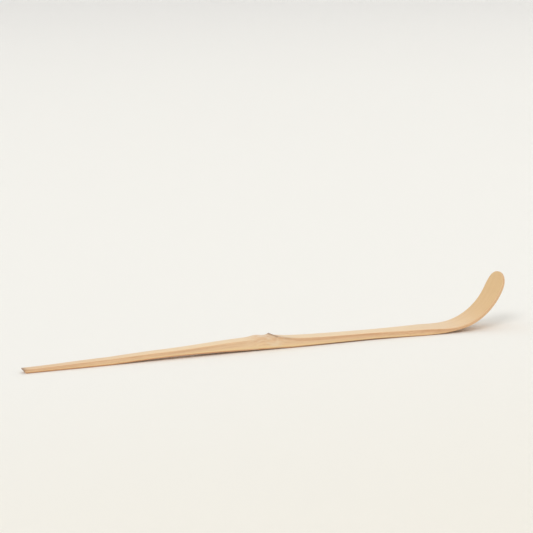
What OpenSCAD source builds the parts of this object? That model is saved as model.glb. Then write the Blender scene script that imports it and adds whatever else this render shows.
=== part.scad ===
// Bamboo tea scoop, carved and bent from one split of bamboo.
// +X runs from the cut butt to the tip of the blade, +Z is up, and the scoop lies
// on its underside at Z = 0 with its blade turned up. All sizes are in millimetres.

/* [Overall] */
// Length along the table, from the cut butt to the tip of the blade
length = 180; // [170:1:190]
// Highest gap between the table and the hollowed underside of the stem
arch_rise = 0.85; // [0:0.05:1.2]
// Distance from the butt to the highest point of that gap
arch_crest = 57; // [50:1:64]
// Width of the small chamfers along the two upper edges
top_chamfer = 0.2; // [0.1:0.05:0.35]
// Width of the knife-cut bevels along the stem's two lower edges
low_bevel = 0.36; // [0.1:0.02:0.4]
// How far the rounded underside of the stem stands below its two edges
belly = 0.12; // [0.1:0.01:0.15]
// Rise of the rounded skin above its two edges
crown = 0.15; // [0:0.05:0.25]

/* [Butt half of the stem] */
// Width at the cut butt
butt_w = 3.3; // [3:0.1:5]
// Thickness at the cut butt
butt_t = 1.55; // [1.4:0.05:1.8]
// How far the butt's slanting cut runs back from its upper edge to its lower one
butt_rake = 1; // [0:0.1:1.8]
// Thickness of the slender stretch between the butt and the swell
slim_t = 2.25; // [1.9:0.05:2.5]
// Width just before the node
node_w = 5.5; // [5.2:0.1:7]
// Thickness just before the node, without the ridge
node_t = 3.95; // [3.4:0.05:4.1]

/* [Node] */
// Place of the sheath scar, from mid-length towards the tip
scar_x = -0.6; // [-4:0.1:6]
// Height of the rounded nodal ridge above the skin
ridge_h = 0.5; // [0:0.05:0.7]
// Distance of the ridge's top from the scar
ridge_gap = 5.3; // [5:0.1:8]
// Height of the thin lip along the scar
lip_h = 0.6; // [0:0.05:0.7]
// How much higher the lip stands at its far edge, and lower at its near edge
lip_lean = 0.3; // [0:0.05:0.4]
// How far the scar slants across the width
scar_slant = 1.5; // [0:0.1:2.5]

/* [Blade half of the stem] */
// Width just past the scar
waist_w = 5.2; // [4.8:0.1:6]
// Thickness of the straight stem just past the scar
waist_t = 3.35; // [2.8:0.05:3.5]
// Extra thickness left standing right behind the scar
waist_swell = 1.1; // [0:0.05:1.2]
// Width of the straight stem before it flares into the blade
stem_w = 6; // [5.6:0.1:7.2]
// Thickness where the bend begins
neck_t = 2.4; // [1.8:0.05:2.5]

/* [Blade] */
// Greatest width of the blade
blade_w = 11; // [9:0.1:12.5]
// Thickness of the blade
blade_t = 1.25; // [1:0.05:1.5]
// Thickness at the rim of the tip
rim_t = 0.9; // [0.7:0.05:1]
// Radius of the gentle curve that leads into the bend
lead_r = 76; // [65:1:85]
// Angle turned by the gentle curve
lead_a = 10.8; // [8:0.1:13]
// Radius of the heat-made bend
bend_r = 23.1; // [20:0.1:26]
// Steepness of the blade's end above the table
bend_a = 74; // [65:1:78]
// Straight length past the bend
end_len = 2.5; // [1.5:0.1:6]
// Length of the rounded end of the outline
tip_len = 7.2; // [6:0.1:8]

/* [Hidden] */
bamboo = [0.87, 0.73, 0.56];

rest_cut = 0.1;       // taken off the underside so that it lies flat
bevel_steep = 1.5;    // height of the lower bevels, in their widths
blade_bevel = 0.15;   // width they narrow to on the blade
rake_fade = 3;        // length over which the slant of the butt's cut fades
butt_reach = 27;       // length over which the arch rises, on the butt side
blade_reach = 38;     // length over which it falls again, on the blade side
heel_len = 32;        // length over which the butt's thin end thickens
swell_len = 38;       // length over which the stem swells towards the node
swell_gap = 2.2;      // distance from the end of that swell to the scar
ridge_spread = 2.7;   // half-length of the nodal ridge
lip_spread = 1.2;     // length over which the scar's lip fades
waist_fade = 6.4;     // length over which the waist's swell and pinch fade
flare_len = 41;       // length over which the stem flares into the blade
flare_lead = 23;      // how far before the bend the flare begins
tip_fullness = 3;     // 2 rounds the tip as an ellipse, more fills out its shoulders
step_gap = 0.24;      // length of the steep step down from the scar's lip
arc_deg = 180 / PI;

lead_len = lead_r * lead_a / arc_deg;
bend_len = bend_r * (bend_a - lead_a) / arc_deg;
lead_end = [lead_r * sin(lead_a), lead_r * (1 - cos(lead_a))];
bend_end = lead_end + bend_r * [sin(bend_a) - sin(lead_a), cos(lead_a) - cos(bend_a)];
blade_span = bend_end.x + end_len * cos(bend_a);
butt_x = -length / 2;
neck_s = length - blade_span;
total_s = neck_s + lead_len + bend_len + end_len;
scar_s = scar_x - butt_x;
flare_s = neck_s - flare_lead;

function clamped(v) = max(0, min(1, v));
function eased(v) = let (c = clamped(v)) c * c * (3 - 2 * c);
function between(a, b, v) = a + (b - a) * v;

// Underside line: [x, z, slope angle] at arc length s from the butt
function spine(s) =
    let (p = s - neck_s, q = p - lead_len, r = q - bend_len,
         la = p / lead_r * arc_deg, ba = lead_a + q / bend_r * arc_deg)
    p <= 0 ? [s, 0, 0]
    : q <= 0 ? [neck_s + lead_r * sin(la), lead_r * (1 - cos(la)), la]
    : r <= 0 ? [neck_s + lead_end.x + bend_r * (sin(ba) - sin(lead_a)),
                lead_end.y + bend_r * (cos(lead_a) - cos(ba)), ba]
    : [neck_s + bend_end.x + r * cos(bend_a), bend_end.y + r * sin(bend_a), bend_a];

// Height of the hollowed underside
function arch(s) =
    let (d = s - arch_crest, reach = d < 0 ? butt_reach : blade_reach)
    arch_rise * cos(90 * clamped(abs(d) / reach));

// The lip's rise towards the scar, from 0 to 1
function lip(s) = s < scar_s ? exp((s - scar_s) / lip_spread) : 0;

// Thickness on the butt side of the scar: the stem, its swell, the ridge and the lip
function butt_side_t(s) =
    let (slim = between(butt_t, slim_t, eased(s / heel_len)),
         swell = eased((s - scar_s + swell_gap + swell_len) / swell_len),
         d = (s - scar_s + ridge_gap) / ridge_spread)
    slim + (node_t - slim_t) * swell + ridge_h * exp(-d * d) + lip_h * lip(s);

// Thickness on the blade side: a straight taper, then the thin blade and its rim
function blade_side_t(s) =
    let (stem = between(waist_t, neck_t, clamped((s - scar_s) / (neck_s - scar_s))),
         blade = between(stem, blade_t, eased((s - neck_s) / lead_len)),
         edge = between(blade, rim_t, eased((s - total_s + tip_len) / tip_len)))
    edge + waist_swell * exp((scar_s - s) / waist_fade);

function thickness(s) = s < scar_s ? butt_side_t(s) : blade_side_t(s);

// Width of the outline, rounded off over the last tip_len
function width(s) =
    let (butt_side = between(butt_w, node_w, clamped(s / scar_s)),
         pinch = (stem_w - waist_w) * exp(min(0, scar_s - s) / waist_fade),
         stem = between(stem_w - pinch, blade_w, eased((s - flare_s) / flare_len)),
         end = clamped((s - total_s + tip_len) / tip_len))
    between(butt_side, stem, eased((s - scar_s + 1.5) / 3)) * sqrt(1 - pow(end, tip_fullness));

// Slant of the scar: the rings near it lean, and the lean fades along the stem
function slant(s, side) =
    let (d = (s - scar_s) / waist_fade) -scar_slant / 2 * side * exp(-d * d);

// Width of the lower bevels, which narrow onto the blade
function bevel(s) = between(low_bevel, blade_bevel, eased((s - flare_s) / flare_len));

// Cross-section as [y, height above the underside's middle], inset all round by trim;
// its top leans by lean from the middle to either edge
under_steps = 6;
crown_steps = 6;
function section(w, t, bevel, lean, trim) =
    let (h = w / 2 - trim, fit = min(1, w / 2.4), lo = bevel * fit, low = belly * fit + trim,
         side_foot = low + bevel_steep * lo,
         up = top_chamfer * fit, bulge = crown * fit, top = t - trim)
    concat([for (k = [0 : under_steps]) let (v = 2 * k / under_steps - 1)
               [(h - lo) * v, trim + (low - trim) * v * v]],
           [[h, side_foot], [h, top - up + lean]],
           [for (k = [0 : crown_steps]) let (v = 1 - 2 * k / crown_steps)
               [(h - up) * v, top + bulge * (1 - v * v) + lean * v]],
           [[-h, top - up - lean], [-h, side_foot]]);

// The butt's cut slants: the lower a place is, the further it is set back. Its upper edge,
// which edge_trim has lowered, isn't set back at all.
function rake(s, t, level) =
    butt_rake * (1 - clamped(level / (t - edge_trim))) * exp(-s / rake_fade);

function ring(s, trim) =
    let (p = spine(s), w = width(s), t = thickness(s))
    [for (q = section(w, t, bevel(s), lip_lean * lip(s), trim))
        [butt_x + p.x - q.y * sin(p.z) + slant(s, q.x / max(w / 2, 1)) + rake(s, t, q.y),
         q.x,
         p.y + arch(s) - rest_cut + q.y * cos(p.z)]];

// Arc lengths of the rings: closer together at the scar, round the bend and at the tip
butt_rings = 36;
stem_rings = 20;
blade_rings = 30;
tip_rings = 12;
edge_trim = 0.2;
near_scar = 3;
blade_start = neck_s - 2;
tip_start = total_s - tip_len;
last_turn = 88;
stations = concat(
    [for (i = [0 : butt_rings]) between(edge_trim, scar_s - near_scar, i / butt_rings)],
    [for (d = [2, 1.2, 0.6, 0.25]) scar_s - d],
    [scar_s - step_gap / 2, scar_s + step_gap / 2],
    [for (d = [0.6, 1.2, 2]) scar_s + d],
    [for (i = [0 : stem_rings]) between(scar_s + near_scar, blade_start, i / stem_rings)],
    [for (i = [1 : blade_rings]) between(blade_start, tip_start, i / blade_rings)],
    [for (i = [1 : tip_rings]) tip_start + tip_len * sin(last_turn * i / tip_rings)]);

// The solid through a list of rings with the same number of points
module swept(rings) {
    n = len(rings[0]);
    m = len(rings);
    polyhedron(
        points = [for (r = rings) each r],
        faces = concat(
            [[for (j = [0 : n - 1]) j]],
            [for (i = [0 : m - 2], j = [0 : n - 1]) let (k = (j + 1) % n)
                each [[i * n + j, (i + 1) * n + j, (i + 1) * n + k],
                      [i * n + j, (i + 1) * n + k, i * n + k]]],
            [[for (j = [n - 1 : -1 : 0]) (m - 1) * n + j]]),
        convexity = 4);
}

// The one carved piece: its butt edge is broken all round and its underside lies flat
module scoop() {
    color(bamboo)
    difference() {
        swept(concat([ring(0, edge_trim)], [for (s = stations) ring(s, 0)]));
        translate([-length, -blade_w, -2]) cube([2 * length, 2 * blade_w, 2]);
    }
}

scoop();
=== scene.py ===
import math

import bpy
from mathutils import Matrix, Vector


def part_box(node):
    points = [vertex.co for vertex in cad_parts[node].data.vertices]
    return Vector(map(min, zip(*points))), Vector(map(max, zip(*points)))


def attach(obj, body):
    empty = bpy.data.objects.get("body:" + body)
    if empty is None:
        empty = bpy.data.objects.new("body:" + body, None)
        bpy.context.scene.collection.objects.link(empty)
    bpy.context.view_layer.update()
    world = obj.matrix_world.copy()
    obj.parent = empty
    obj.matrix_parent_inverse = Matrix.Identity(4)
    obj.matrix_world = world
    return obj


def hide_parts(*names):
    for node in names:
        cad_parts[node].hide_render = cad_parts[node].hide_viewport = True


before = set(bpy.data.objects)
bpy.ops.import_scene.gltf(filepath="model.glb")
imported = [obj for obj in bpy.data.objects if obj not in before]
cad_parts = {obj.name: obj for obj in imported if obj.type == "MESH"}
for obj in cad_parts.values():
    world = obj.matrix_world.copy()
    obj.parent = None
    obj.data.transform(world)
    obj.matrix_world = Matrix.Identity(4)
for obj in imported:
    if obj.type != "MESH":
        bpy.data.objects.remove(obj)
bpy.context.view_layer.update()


# ---------------------------------------------------------------------------
# The view. The camera stands low in front of the scoop, towards its butt, so
# that the stem runs away to the right and the blade turns up at the far end.
# ---------------------------------------------------------------------------
mm = 0.001
low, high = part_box("scoop")
aim_height = 5 * mm
middle = Vector(((low.x + high.x) / 2, 0, aim_height))

view_turn = math.radians(24)
view_rise = math.radians(12.67)
view_distance = 0.6146
aim_turn = math.radians(-0.265)
aim_rise = math.radians(2.168)

back = Vector((-math.sin(view_turn) * math.cos(view_rise),
               -math.cos(view_turn) * math.cos(view_rise),
               math.sin(view_rise)))
camera = bpy.data.objects.new("camera", bpy.data.cameras.new("camera"))
camera.data.lens = 120
camera.data.sensor_width = 36
camera.data.clip_start = 0.05
camera.data.clip_end = 20
camera.location = middle + back * view_distance
camera.rotation_euler = (math.pi / 2 - view_rise + aim_rise, 0, -view_turn - aim_turn)
bpy.context.scene.collection.objects.link(camera)
bpy.context.scene.camera = camera
bpy.context.scene.view_settings.view_transform = "Standard"


# ---------------------------------------------------------------------------
# The table: a wide pale sheet of matt board that curls up far behind and all
# round, so that no edge of it shows. It isn't part of the scoop.
# ---------------------------------------------------------------------------
class Strand:
    """One value in a node tree, which Python's operators turn into Math nodes."""

    def __init__(self, bench, socket):
        self.bench = bench
        self.socket = socket

    def math(self, operation, *others):
        inputs = dict(enumerate((self, *others)))
        return self.bench.add("ShaderNodeMath", {"operation": operation}, inputs)

    def __add__(self, other):
        return self.math("ADD", other)

    def __sub__(self, other):
        return self.math("SUBTRACT", other)

    def __rsub__(self, other):
        return self.bench.value(other).math("SUBTRACT", self)

    def __mul__(self, other):
        return self.math("MULTIPLY", other)

    def __truediv__(self, other):
        return self.math("DIVIDE", other)

    def __pow__(self, other):
        return self.math("POWER", other)

    def __neg__(self):
        return self.math("MULTIPLY", -1.0)

    def __lt__(self, other):
        return self.math("LESS_THAN", other)

    def __gt__(self, other):
        return self.math("GREATER_THAN", other)

    def __abs__(self):
        return self.math("ABSOLUTE")

    __radd__ = __add__
    __rmul__ = __mul__

    def least(self, other):
        return self.math("MINIMUM", other)

    def most(self, other):
        return self.math("MAXIMUM", other)

    def clamped(self):
        return self.least(1.0).most(0.0)

    def eased(self):
        step = self.clamped()
        return step * step * (3 - 2 * step)

    def bump(self):
        """1 at zero, falling off as a bell does."""
        return (-(self * self)).math("EXPONENT")

    def split(self):
        node = self.bench.node("ShaderNodeSeparateXYZ", inputs={0: self})
        return [Strand(self.bench, node.outputs[k]) for k in range(3)]


class Bench:
    """A node tree on which a shape or a finish is wired up."""

    def __init__(self, tree):
        self.tree = tree

    def node(self, kind, settings=None, inputs=None):
        """A node of that type: its settings first, then its sockets' values or links."""
        node = self.tree.nodes.new(kind)
        for name, value in (settings or {}).items():
            setattr(node, name, value)
        for name, value in (inputs or {}).items():
            if isinstance(value, Strand):
                self.tree.links.new(value.socket, node.inputs[name])
            else:
                node.inputs[name].default_value = value
        return node

    def add(self, kind, settings=None, inputs=None, output=0):
        node = self.node(kind, settings, inputs)
        return Strand(self, node.outputs[output])

    def value(self, number):
        return self.add("ShaderNodeMath", {"operation": "ADD"}, {0: float(number), 1: 0.0})

    def vector(self, x, y, z):
        return self.add("ShaderNodeCombineXYZ", inputs={0: x, 1: y, 2: z})

    def noise(self, x, y, z, detail=2.0, rough=0.5, seed=0.0):
        """Smooth random values, 0.5 on the average, one grain to each unit of x, y and z."""
        place = self.vector(x, y, z)
        return self.add("ShaderNodeTexNoise", {"noise_dimensions": "4D"},
                        {"Vector": place, "W": seed, "Scale": 1.0, "Detail": detail,
                         "Roughness": rough})

    def blend(self, share, first, second):
        """Two colours mixed by share."""
        return self.add("ShaderNodeMix", {"data_type": "RGBA"},
                        {0: share, 6: first, 7: second}, output=2)


def between(first, second, share):
    return first + (second - first) * share


def colour(red, green, blue):
    """A colour named by its 0 to 255 values, as the linear light that nodes use."""
    def light(level):
        level = level / 255
        return level / 12.92 if level < 0.04045 else ((level + 0.055) / 1.055) ** 2.4
    return (light(red), light(green), light(blue), 1.0)


def new_finish(name):
    finish = bpy.data.materials.new(name)
    finish.use_nodes = True
    finish.node_tree.nodes.clear()
    return finish, Bench(finish.node_tree)


flat_reach = 3.2
curl_radius = 1.0
wall_height = 1.2
turns = 96
curl_steps = 16
cloud_grain = 1.3
far_shade_reach = 3.4
near_fade = 0.5

rim = [(flat_reach * share, 0.0) for share in (0.0, 0.1, 0.3, 0.6)]
for step in range(curl_steps + 1):
    angle = math.pi / 2 * step / curl_steps
    rim.append((flat_reach + curl_radius * math.sin(angle),
                curl_radius * (1 - math.cos(angle))))
rim.append((flat_reach + curl_radius, curl_radius + wall_height))

points = [(0.0, 0.0, 0.0)]
faces = []
for reach, height in rim[1:]:
    for turn in range(turns):
        angle = 2 * math.pi * turn / turns
        points.append((reach * math.cos(angle), reach * math.sin(angle), height))
for turn in range(turns):
    following = (turn + 1) % turns
    faces.append((0, 1 + turn, 1 + following))
    for ring in range(len(rim) - 2):
        start = 1 + ring * turns
        faces.append((start + turn, start + turns + turn,
                      start + turns + following, start + following))
board_mesh = bpy.data.meshes.new("table_board")
board_mesh.from_pydata(points, [], faces)
board_mesh.shade_smooth()
board = bpy.data.objects.new("table_board", board_mesh)
bpy.context.scene.collection.objects.link(board)

board_finish, bench = new_finish("matt_board")
place = bench.add("ShaderNodeTexCoord", output="Object")
across, along, _ = place.split()
cloud = bench.noise(across * cloud_grain, along * cloud_grain, 0.0, detail=1.0)
board_colour = bench.blend(cloud, colour(240, 240, 238), colour(242, 242, 240))
# Painted shade: the board darkens towards the far side, standing in for the light falling off
# there.
board_colour = bench.blend((along / far_shade_reach).eased(), board_colour, colour(227, 227, 227))
board_colour = bench.blend((along / -near_fade).clamped(), board_colour, colour(236, 231, 218))
shader = bench.node("ShaderNodeBsdfPrincipled",
                    inputs={"Base Color": board_colour, "Roughness": 0.85,
                            "Specular IOR Level": 0.2})
bench.node("ShaderNodeOutputMaterial", inputs={0: Strand(bench, shader.outputs[0])})
board_mesh.materials.append(board_finish)


# ---------------------------------------------------------------------------
# The light: an even bright sky of diffused studio light all round, and one
# broad lamp high on the left in front, which throws the blade's soft shadow.
# ---------------------------------------------------------------------------
sky = bpy.data.worlds.new("studio")
sky.use_nodes = True
bpy.context.scene.world = sky
sky_light = sky.node_tree.nodes["Background"]
sky_light.inputs["Color"].default_value = colour(255, 254, 251)
sky_light.inputs["Strength"].default_value = 0.89

lamp_from = Vector((-0.56, -0.56, 0.68))
lamp = bpy.data.objects.new("key_lamp", bpy.data.lights.new("key_lamp", "SUN"))
lamp.data.energy = 0.88
lamp.data.angle = math.radians(20)
lamp.data.color = (1.0, 0.975, 0.94)
lamp.rotation_euler = lamp_from.to_track_quat("Z", "Y").to_euler()
bpy.context.scene.collection.objects.link(lamp)


# ---------------------------------------------------------------------------
# The scoop: one length of split bamboo, carved with a knife and bent over heat.
# The skin of the culm is its upper side. It tapers to the cut butt, and the node
# keeps its rounded ridge and the sharp scar where the sheath was.
# ---------------------------------------------------------------------------
# The sizes are those of the solid that the scoop stands for, and its knife's wander.
scoop_sizes = {
    "Length": high.x - low.x,
    "Butt width": 3.3 * mm,
    "Butt thickness": 1.55 * mm,
    "Butt rake": 1 * mm,
    "Rake fade": 3 * mm,
    "Heel length": 32 * mm,
    "Slim thickness": 2.25 * mm,
    "Swell length": 38 * mm,
    "Swell gap": 2.2 * mm,
    "Node width": 5.5 * mm,
    "Node thickness": 3.95 * mm,
    "Scar place": -0.6 * mm,
    "Ridge height": 0.5 * mm,
    "Ridge gap": 5.3 * mm,
    "Ridge spread": 2.7 * mm,
    "Lip height": 0.6 * mm,
    "Lip lean": 0.3 * mm,
    "Lip spread": 1.2 * mm,
    "Scar slant": 1.5 * mm,
    "Waist width": 5.2 * mm,
    "Waist thickness": 3.35 * mm,
    "Waist swell": 1.1 * mm,
    "Waist fade": 6.4 * mm,
    "Stem width": 6 * mm,
    "Neck thickness": 2.4 * mm,
    "Flare lead": 23 * mm,
    "Flare length": 41 * mm,
    "Blade width": high.y - low.y,
    "Blade thickness": 1.25 * mm,
    "Rim thickness": 0.9 * mm,
    "Lead radius": 76 * mm,
    "Lead angle": math.radians(10.8),
    "Bend radius": 23.1 * mm,
    "Bend angle": math.radians(74),
    "End length": 2.5 * mm,
    "Tip length": 7.2 * mm,
    "Tip fullness": 3,
    "Arch rise": 0.85 * mm,
    "Arch crest": 57 * mm,
    "Arch butt reach": 27 * mm,
    "Arch blade reach": 38 * mm,
    "Rest cut": 0.1 * mm,
    "Edge trim": 0.2 * mm,
    "Crown": 0.15 * mm,
    "Belly": 0.12 * mm,
    "Top edge": 0.2 * mm,
    "Low bevel": 0.36 * mm,
    "Blade bevel": 0.15 * mm,
    "Bevel steepness": 1.5,
    "Wander": 0.1 * mm,
    "Raggedness": 0.3 * mm,
}
stations = 760
ring_shares = (9, 3, 8, 4, 12)
ring_half = sum(ring_shares)


def scoop_tree(name, sizes, finish):
    """The tree that carves a flat grid, rolled into a tube, to the scoop's shape."""
    tree = bpy.data.node_groups.new(name, "GeometryNodeTree")
    tree.interface.new_socket("Geometry", in_out="OUTPUT", socket_type="NodeSocketGeometry")
    for label in [*sizes, "Seed"]:
        tree.interface.new_socket(label, in_out="INPUT", socket_type="NodeSocketFloat")
    bench = Bench(tree)
    given = bench.node("NodeGroupInput")
    size = {label: Strand(bench, given.outputs[label]) for label in sizes}
    seed = Strand(bench, given.outputs["Seed"])
    length, tip_length = size["Length"], size["Tip length"]

    # A unit grid: u runs from the butt to the tip, v once round the section.
    grid = bench.node("GeometryNodeMeshGrid", inputs={
        "Size X": 1.0, "Size Y": 1.0, "Vertices X": stations, "Vertices Y": 2 * ring_half + 1})
    u, v, _ = bench.add("GeometryNodeInputPosition").split()
    u, v = u + 0.5, v + 0.5

    # The spine: straight, then a gentle lead, the bend and a straight end.
    lead_sin, lead_cos = size["Lead angle"].math("SINE"), size["Lead angle"].math("COSINE")
    bend_sin, bend_cos = size["Bend angle"].math("SINE"), size["Bend angle"].math("COSINE")
    lead_length = size["Lead radius"] * size["Lead angle"]
    bend_length = size["Bend radius"] * (size["Bend angle"] - size["Lead angle"])
    bend_x = size["Lead radius"] * lead_sin + size["Bend radius"] * (bend_sin - lead_sin)
    neck = length - bend_x - size["End length"] * bend_cos
    total = neck + lead_length + bend_length + size["End length"]
    scar = length / 2 + size["Scar place"]

    # Rings: the cut end first, then its broken edge, the stem, and the rounded tip.
    end_rings, edge_rings, tip_rings = 8.0, 4.0, 40.0
    crowd_share, crowd_reach = 0.7, 6 * mm
    edge_trim = size["Edge trim"]
    count = u * (stations - 1.0)
    end_share = (count / end_rings).clamped()
    edge_turn = ((count - end_rings) / edge_rings).clamped() * (math.pi / 2)
    stem_share = ((count - end_rings - edge_rings)
                  / (stations - 1.0 - end_rings - edge_rings - tip_rings)).clamped()
    tip_share = ((count - (stations - 1.0 - tip_rings)) / tip_rings).clamped()
    tip_way = (tip_share * (math.pi / 2)).math("SINE")
    trim = edge_trim * (1 - edge_turn.math("SINE"))
    even = edge_trim + (total - tip_length - edge_trim) * stem_share
    from_scar = even - scar
    crowding = crowd_share * (from_scar / crowd_reach).bump()
    s = (even - from_scar * crowding - edge_trim * edge_turn.math("COSINE")
         + tip_length * tip_way)
    past_scar = s - scar

    lead = (s - neck).most(0.0).least(lead_length)
    turn = (s - neck - lead_length).most(0.0).least(bend_length)
    end = (s - neck - lead_length - bend_length).most(0.0)
    lead_turn = lead / size["Lead radius"]
    slope = lead_turn + turn / size["Bend radius"]
    slope_sin, slope_cos = slope.math("SINE"), slope.math("COSINE")
    lead_turn_sin, lead_turn_cos = lead_turn.math("SINE"), lead_turn.math("COSINE")
    spine_x = (s.least(neck) + size["Lead radius"] * lead_turn_sin
               + size["Bend radius"] * (slope_sin - lead_turn_sin) + end * slope_cos)
    spine_z = (size["Lead radius"] * (1 - lead_turn_cos)
               + size["Bend radius"] * (lead_turn_cos - slope_cos) + end * slope_sin)

    # The hollowed underside.
    from_crest = s - size["Arch crest"]
    reach = between(size["Arch butt reach"], size["Arch blade reach"], from_crest > 0.0)
    fall = (abs(from_crest) / reach).clamped() * (math.pi / 2)
    arch = size["Arch rise"] * fall.math("COSINE")

    # Thickness on each side of the scar, with a shallow knife cut just past it.
    cut_depth, cut_gap, cut_reach = 0.14 * mm, 0.6 * mm, 0.5 * mm
    heel = (s / size["Heel length"]).eased()
    slim = between(size["Butt thickness"], size["Slim thickness"], heel)
    swell_start = -size["Swell gap"] - size["Swell length"]
    swell = ((past_scar - swell_start) / size["Swell length"]).eased()
    from_ridge = past_scar + size["Ridge gap"]
    ridge = size["Ridge height"] * (from_ridge / size["Ridge spread"]).bump()
    lip = (past_scar.least(0.0) / size["Lip spread"]).math("EXPONENT") * (past_scar < 0.0)
    butt_side = (slim + (size["Node thickness"] - size["Slim thickness"]) * swell
                 + ridge + size["Lip height"] * lip)
    stem = between(size["Waist thickness"], size["Neck thickness"],
                   (past_scar / (neck - scar)).clamped())
    blade = between(stem, size["Blade thickness"], ((s - neck) / lead_length).eased())
    edge = between(blade, size["Rim thickness"], ((s - total + tip_length) / tip_length).eased())
    fade = ((-past_scar).least(0.0) / size["Waist fade"]).math("EXPONENT")
    scar_cut = cut_depth * ((past_scar - cut_gap) / cut_reach).bump()
    blade_side = edge + size["Waist swell"] * fade - scar_cut
    thickness = between(butt_side, blade_side, past_scar > 0.0)

    # Width, which changes over a short join at the scar and is rounded off at the tip.
    join = 3 * mm
    pinch = (size["Stem width"] - size["Waist width"]) * fade
    flare = ((s - neck + size["Flare lead"]) / size["Flare length"]).eased()
    butt_width = between(size["Butt width"], size["Node width"], (s / scar).clamped())
    stem_width = between(size["Stem width"] - pinch, size["Blade width"], flare)
    width = between(butt_width, stem_width, ((past_scar + join / 2) / join).eased())
    width = width * (1 - tip_way ** size["Tip fullness"]).most(0.0).math("SQRT")

    # The section: half of it runs from the underside's middle to the skin's middle.
    w = 1 - abs(2 * v - 1)
    side = between(-1.0, 1.0, v < 0.5)
    shares, start = [], 0
    for share in ring_shares:
        shares.append(((w * ring_half - start) / share).clamped())
        start += share
    under, low_edge, flank, top_edge, skin = shares
    top_turn = top_edge * (math.pi / 2)

    # The knife's work: flanks that wander a little, flat strokes underneath, and a
    # faint ripple in the skin.
    wander_grain, stroke_grain, ripple_grain = 13 * mm, 6 * mm, 7 * mm
    wander = bench.noise(s / wander_grain, side * 4, 0.0, seed=seed)
    wander = size["Wander"] * (1 - flare) * wander
    strokes = bench.noise(s / stroke_grain, side * under * 1.6, 0.0, 0.0, seed=seed)
    strokes = size["Wander"] * strokes
    ripple = bench.noise(s / ripple_grain, side * 2, skin * 2, seed=seed)
    ripple = 0.5 * size["Wander"] * ripple

    # Where the piece is narrower than full_width, its bevels shrink with it.
    full_width = 2.4 * mm
    half = width / 2 - trim - wander
    fit = (width / full_width).least(1.0)
    low_cut = between(size["Low bevel"], size["Blade bevel"], flare) * fit
    low_rise, top_cut = size["Bevel steepness"] * low_cut, size["Top edge"] * fit
    sag = size["Belly"] * fit
    y = ((half - low_cut) * under + low_cut * low_edge
         - top_cut * (1 - top_turn.math("COSINE")) - (half - top_cut) * skin)
    rise = (thickness - 2 * trim - sag - low_rise - top_cut) * flank
    lean = size["Lip lean"] * lip * side * (1 - skin) * flank
    n = (trim + sag * under * under + low_rise * low_edge + rise
         + top_cut * top_turn.math("SINE") + lean
         + size["Crown"] * fit * (1 - (1 - skin) * (1 - skin)) * (top_edge > 0.99)
         + strokes * fit * (low_edge < 0.01) * under - ripple * fit * skin)
    y, n = y * end_share, between(thickness / 2, n, end_share)
    y = y * side

    # The scar's slant and ragged edge, and the way from the section to the bent stem.
    least_half, tear_grain, tear_reach = 1 * mm, 0.5 * mm, 0.9 * mm
    slant = (-0.5 * size["Scar slant"] * (y / (width / 2).most(least_half))
             * (past_scar / size["Waist fade"]).bump())
    teeth = bench.noise(y / tear_grain, 0.0, 0.0, detail=3.0, seed=seed) - 0.5
    tear = (size["Raggedness"] * teeth * (past_scar / tear_reach).bump()
            * skin.most(top_edge))
    level = (n / (thickness - edge_trim)).clamped()
    rake = size["Butt rake"] * (1 - level) * (-s / size["Rake fade"]).math("EXPONENT")
    x = low.x + spine_x - n * slope_sin + slant + tear + rake
    z = (spine_z + arch - size["Rest cut"] + n * slope_cos).most(0.0)

    # What the finish needs to know of each place is stored while the grid is still flat.
    shape = Strand(bench, grid.outputs["Mesh"])
    for label, value in (("grain", bench.vector(s, y, thickness - n)),
                         ("face", bench.vector(skin.most(top_edge), 1 - end_share, 1 - low_edge)),
                         ("place", bench.vector(side * (1 - skin), past_scar, flank))):
        shape = bench.add("GeometryNodeStoreNamedAttribute",
                          {"data_type": "FLOAT_VECTOR", "domain": "POINT"},
                          {"Geometry": shape, "Name": label, "Value": value})
    shape = bench.add("GeometryNodeSetPosition",
                      inputs={"Geometry": shape, "Position": bench.vector(x, y, z)})

    # Rolling the grid up leaves its faces looking inwards, so they are turned round.
    weld_gap = 0.002 * mm
    welded = bench.add("GeometryNodeMergeByDistance",
                       inputs={"Geometry": shape, "Distance": weld_gap})
    outward = bench.add("GeometryNodeFlipFaces", inputs={"Mesh": welded})
    smooth = bench.add("GeometryNodeSetShadeSmooth", inputs={"Geometry": outward})
    whole = bench.add("GeometryNodeRealizeInstances", inputs={"Geometry": smooth})
    done = bench.add("GeometryNodeSetMaterial", inputs={"Geometry": whole, "Material": finish})
    bench.node("NodeGroupOutput", inputs={"Geometry": done})
    return tree


def grown(name, tree, sizes, seed):
    """A plain mesh object made by the tree, with its inputs set before it is evaluated."""
    start = bpy.data.objects.new(name + "_start", bpy.data.meshes.new(name + "_start"))
    bpy.context.scene.collection.objects.link(start)
    modifier = start.modifiers.new("carve", "NODES")
    modifier.node_group = tree
    for item in tree.interface.items_tree:
        if item.item_type == "SOCKET" and item.in_out == "INPUT":
            modifier[item.identifier] = float(seed if item.name == "Seed" else sizes[item.name])
    evaluated = start.evaluated_get(bpy.context.evaluated_depsgraph_get())
    mesh = bpy.data.meshes.new_from_object(evaluated)
    mesh.name = name
    bpy.data.objects.remove(start)
    piece = bpy.data.objects.new(name, mesh)
    bpy.context.scene.collection.objects.link(piece)
    return piece


# The finish: fibres run the whole length. Inside the culm they are pale, and towards
# the skin they are darker and stand out more. Lengths in it are in millimetres.
bamboo, bench = new_finish("bamboo")
seed = 4.0


def attribute(name):
    return bench.add("ShaderNodeAttribute", {"attribute_name": name}, output="Vector").split()


def past(level, start, gain):
    """0 up to start, then rising by gain for each unit until it is 1."""
    return ((level - start) * gain).clamped()


def near(level, centre, spread):
    """1 at centre, fading out over about twice the spread on either side."""
    return ((level - centre) / spread).bump()


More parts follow.
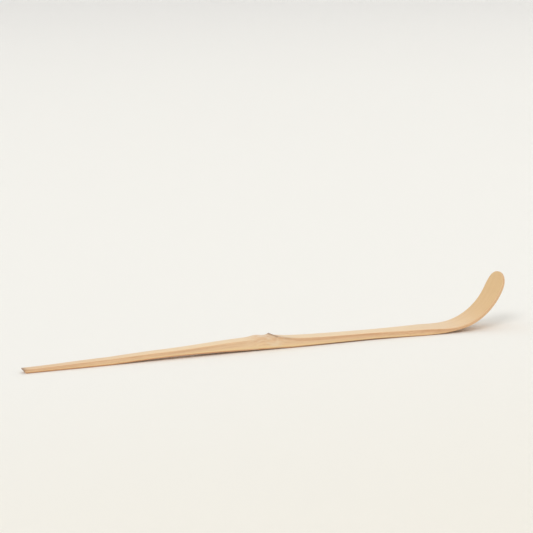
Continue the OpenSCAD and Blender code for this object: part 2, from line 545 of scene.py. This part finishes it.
run, across, depth = [part / mm for part in attribute("grain")]
skin, cut_end, beneath = attribute("face")
side, past_scar, flank = attribute("place")
past_scar = past_scar / mm
knot = near(past_scar, -3.0, 7.0)
inside = (depth / 2.0).clamped()

# The way the fibres run: they waver a little, and turn aside round the node.
turn_aside = bench.noise(run * 0.16, across * 0.35, depth * 0.5, seed=seed) - 0.5
waver = bench.noise(run * 0.045, 0.0, 0.0, seed=seed) - 0.5
fibre_y = across + waver * 0.5 + turn_aside * knot * 2.2
fibre_z = depth + waver * 0.3 + turn_aside * knot * 2.6


def fibres(along, over, through, detail=2.0, rough=0.5, shift=0):
    """Random streaks that follow the fibres: how many to a millimetre, each way."""
    return bench.noise(run * along, fibre_y * over, fibre_z * through,
                       detail=detail, rough=rough, seed=seed + shift)


bands = fibres(0.010, 0.9, 1.5)
streaks = fibres(0.022, 2.6, 3.2, detail=3.0, rough=0.6)
bundles = fibres(0.05, 7.0, 7.5, shift=3)
hairs = fibres(0.16, 22, 22, shift=5)
dashes = fibres(0.45, 9.0, 9.0, detail=1.0, shift=7)
cloud = bench.noise(run * 0.11, across * 0.35, depth * 0.6, detail=2.0, seed=seed + 9)

layer = bench.blend(inside, colour(208, 162, 126), colour(230, 198, 160))
tone = bench.blend(past(bands, 0.4, 4) * 0.75, layer, colour(232, 198, 158))
for share, stain in (
        (past(streaks, 0.50, 7) * 0.60, colour(200, 146, 101)),
        (past(bundles, 0.56, 7) * between(0.40, 0.16, inside), colour(168, 118, 78)),
        (((0.42 - bundles) * 6).clamped() * 0.30, colour(240, 210, 170)),
        (past(dashes, 0.62, 9) * 0.32, colour(160, 112, 76)),
        (past(hairs, 0.5, 3) * 0.12, colour(150, 104, 70)),
        (past(cloud, 0.5, 3) * 0.22, colour(210, 160, 122)),
        (near(past_scar, -12, 24) * 0.42, colour(236, 208, 172))):
    tone = bench.blend(share, tone, stain)

# The skin on top: smoother, closer in tone and with a few brown flecks; it is paler partly in its
# own colour and partly as a painted sheen.
flecks = bench.noise(run * 0.8, across * 3.5, 0.0, detail=2.0, seed=seed + 11)
bend_start, bend_fade, butt_shade_length = 157, 18, 55
bent = ((run - bend_start) / bend_fade).eased()
# Painted shade: towards the butt the top is painted tan, where its rounded top catches less
# sheen.
butt_top_shade = (1 - run / butt_shade_length).clamped() * 0.55
trimmed = near(past_scar, -4.5, 4.5) * 0.75
blade_tone = bench.blend(streaks, colour(222, 188, 140), colour(210, 174, 124))
trimmed_and_shaded_skin_tone = bench.blend(streaks, colour(226, 188, 146), colour(200, 152, 110))
skin_tone = bench.blend(past(streaks, 0.45, 3), colour(237, 211, 173), colour(226, 193, 151))
skin_tone = bench.blend(past(bundles, 0.56, 6) * 0.22, skin_tone, colour(190, 145, 104))
skin_tone = bench.blend(past(flecks, 0.70, 12) * 0.35, skin_tone, colour(168, 122, 84))
skin_tone = bench.blend(bent * 0.85, skin_tone, blade_tone)
skin_tone = bench.blend(butt_top_shade.most(trimmed), skin_tone, trimmed_and_shaded_skin_tone)
tone = bench.blend(skin, tone, skin_tone)

# The rounded top edges and the flanks' lower edges are paler. The underside is painted
# browner as painted shade, darkest on the stretch that the blade's half of the stem lies on.
upper_edge = skin * (1 - skin) * 4
tone = bench.blend(upper_edge * 0.30, tone, colour(236, 208, 168))
lower_edge = near(flank, 0.0, 0.22) * (flank > 0.001)
tone = bench.blend(lower_edge * 0.80, tone, colour(240, 212, 160))
# Painted shade: the dark contact line and shaded gap under the stem, painted onto the underside's
# bevels.
underside_shade_tone = bench.blend(streaks, colour(208, 146, 104), colour(230, 180, 134))
underside_shade_tone = bench.blend(near(run, 119, 22), underside_shade_tone, colour(134, 90, 62))
painted_underside_shade = (beneath * 8).clamped() * between(0.85, 0.25, bent)
tone = bench.blend(painted_underside_shade, tone, underside_shade_tone)

# Pale, waxy patches beside the node; the brown sheath scar, darkest on its far side.
patches = bench.noise(run * 0.30, across * 0.6, depth * 1.1, detail=2.0, seed=seed + 13)
tone = bench.blend(past(patches, 0.48, 6) * knot * 0.65, tone, colour(233, 214, 188))
jag = (bench.noise(run * 0.3, across * 2.2, 0.0, detail=3.0, seed=seed + 15) - 0.5) * 1.2
flush = near(past_scar + jag, 0.8, 2.4) * skin * 0.35
tone = bench.blend(flush, tone, colour(178, 130, 92))
scar_line = near(past_scar + jag * 0.4, 0.15, 0.80) * skin
tone = bench.blend(scar_line * between(0.55, 0.95, (side + 1) / 2), tone, colour(112, 74, 56))
# Painted shade: a dark line along the near top edge just past the scar, where a shadow falls at
# the skin's edge.
edge_shade_past_scar = near(side, -0.92, 0.16) * near(past_scar, 3.6, 3.2) * (depth < 0.7)
tone = bench.blend(edge_shade_past_scar * 0.36, tone, colour(150, 104, 70))

# The cut end: the fibre bundles show as brown dots, and its upper corner is singed.
dots = bench.add("ShaderNodeTexVoronoi", {"voronoi_dimensions": "2D"},
                 {"Vector": bench.vector(across, depth, 0.0), "Scale": 3.4, "Randomness": 0.8})
end_tone = bench.blend((1 - dots * 3.2).clamped() * 0.75,
                       colour(178, 138, 108), colour(96, 66, 48))
scorch = ((across + 0.6 - depth) / 1.6).clamped() * 0.7
end_tone = bench.blend(scorch, end_tone, colour(92, 62, 52))
tone = bench.blend((cut_end * 6).clamped(), tone, end_tone)
singed = (-run / 0.7).math("EXPONENT") * (1 - depth / 1.1).clamped() * 0.8
tone = bench.blend(singed.clamped(), tone, colour(112, 78, 66))

# Heat left the start of the bend a shade browner.
heat = near(run, 158, 16) * 0.16
tone = bench.blend(heat, tone, colour(206, 150, 96))

height = (bundles * 0.5 + hairs * 0.35 + streaks * 0.4 + dashes * 0.25
          + scar_line * -1.2 + cut_end * (1 - dots) * 0.6)
raised = bench.add("ShaderNodeBump", inputs={"Height": height, "Strength": 0.55,
                                             "Distance": 0.06 * mm})
rough = between(between(0.52, 0.62, streaks), between(0.30, 0.42, flecks), skin)
shader = bench.node("ShaderNodeBsdfPrincipled", inputs={
    "Base Color": tone, "Roughness": rough + cut_end * 0.2, "Normal": raised,
    "Specular IOR Level": 0.55})
bench.node("ShaderNodeOutputMaterial", inputs={0: Strand(bench, shader.outputs[0])})

scoop = grown("scoop_body", scoop_tree("carve_scoop", scoop_sizes, bamboo), scoop_sizes, 7)
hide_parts("scoop")
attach(scoop, "root")
